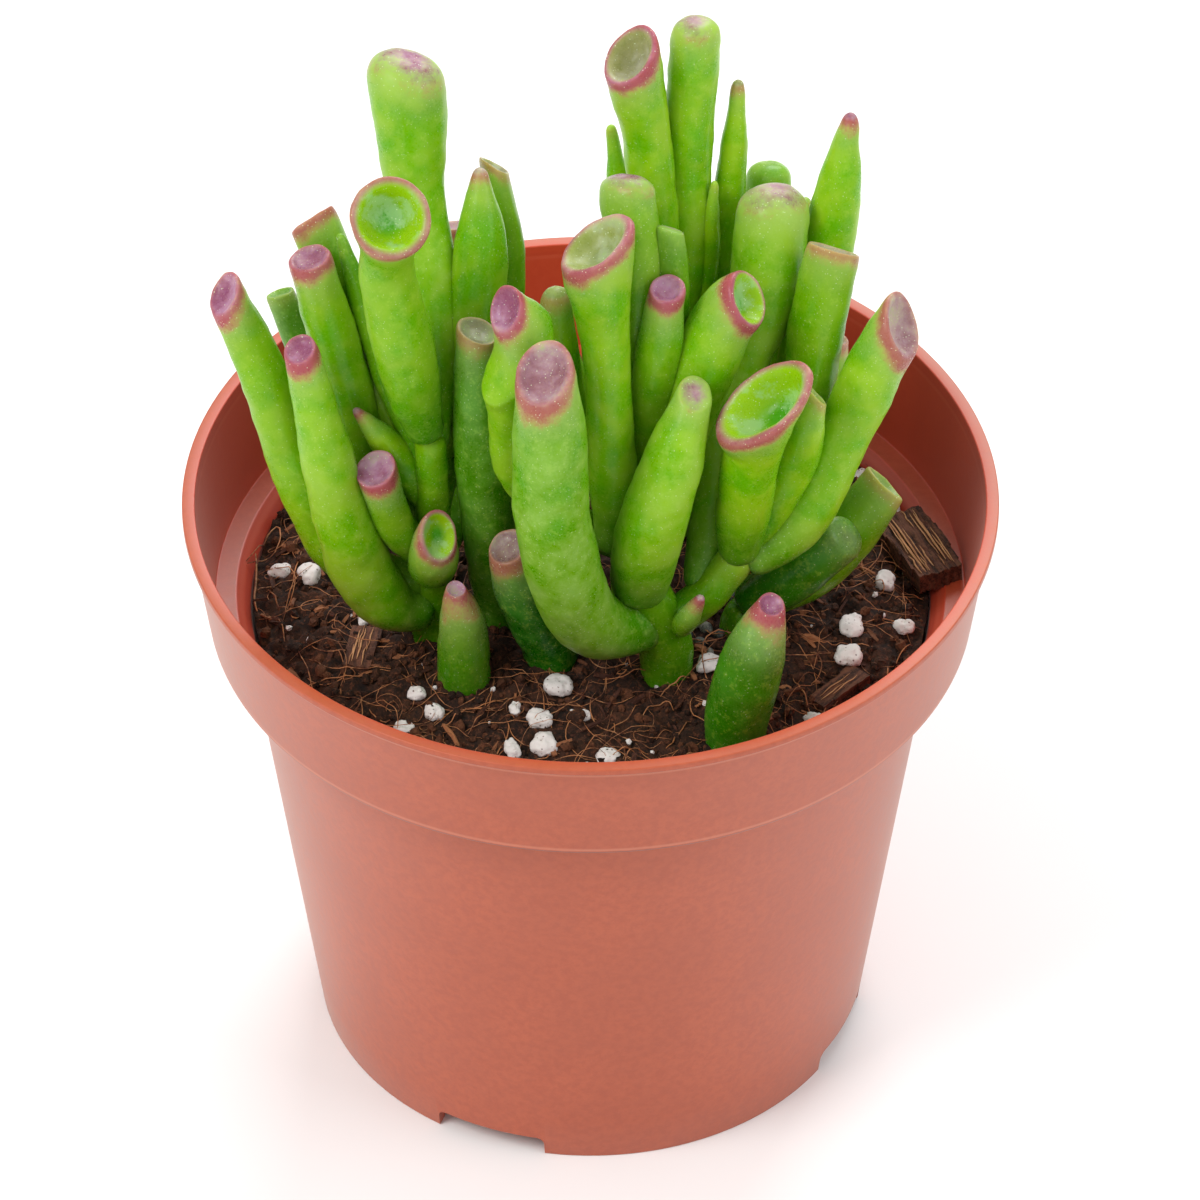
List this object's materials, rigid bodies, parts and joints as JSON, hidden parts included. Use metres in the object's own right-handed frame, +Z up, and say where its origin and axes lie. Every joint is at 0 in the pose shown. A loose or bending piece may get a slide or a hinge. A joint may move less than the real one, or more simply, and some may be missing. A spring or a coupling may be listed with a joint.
{
  "type": "potted gollum jade",
  "caption": "Succulent shoots with tubular, cup-ended leaves growing in soil in a round tapered plastic grower's pot with a banded rim; decorative potted plant.",
  "frame": {"origin": "on the pot's axis, at the plane of its foot ring, under the middle of the rim", "axes": "+Z up along the pot's axis, -Y towards the front of the plant as pictured, +X to the right in that view"},
  "size_m": [0.12, 0.12, 0.1671],
  "materials": {
    "pot_plastic": "satin",
    "soil": "matte",
    "leaf_young": "satin",
    "leaf_old": "satin",
    "perlite": "matte",
    "bark": "matte"
  },
  "bodies": {
    "root": {"pot": "pot_plastic", "soil": "soil", "shoot_left": "leaf_young", "shoot_front": "leaf_young", "shoot_middle": "leaf_young", "shoot_back": "leaf_young", "shoot_right": "leaf_young", "shoot_low": "leaf_old", "leaf_slim": "leaf_old", "leaf_dark": "leaf_old", "leaf_cone": "leaf_old", "leaf_stout": "leaf_old", "perlite_01": "perlite", "perlite_02": "perlite", "perlite_03": "perlite", "perlite_04": "perlite", "perlite_05": "perlite", "perlite_06": "perlite", "perlite_07": "perlite", "perlite_08": "perlite", "perlite_09": "perlite", "perlite_10": "perlite", "perlite_11": "perlite", "perlite_12": "perlite", "perlite_13": "perlite", "perlite_14": "perlite", "perlite_15": "perlite", "perlite_16": "perlite", "perlite_17": "perlite", "perlite_18": "perlite", "perlite_19": "perlite", "perlite_20": "perlite", "perlite_21": "perlite", "perlite_22": "perlite", "perlite_23": "perlite", "bark_chip_large": "bark", "bark_chip_left": "bark", "bark_chip_right": "bark"}
  },
  "joints": []
}
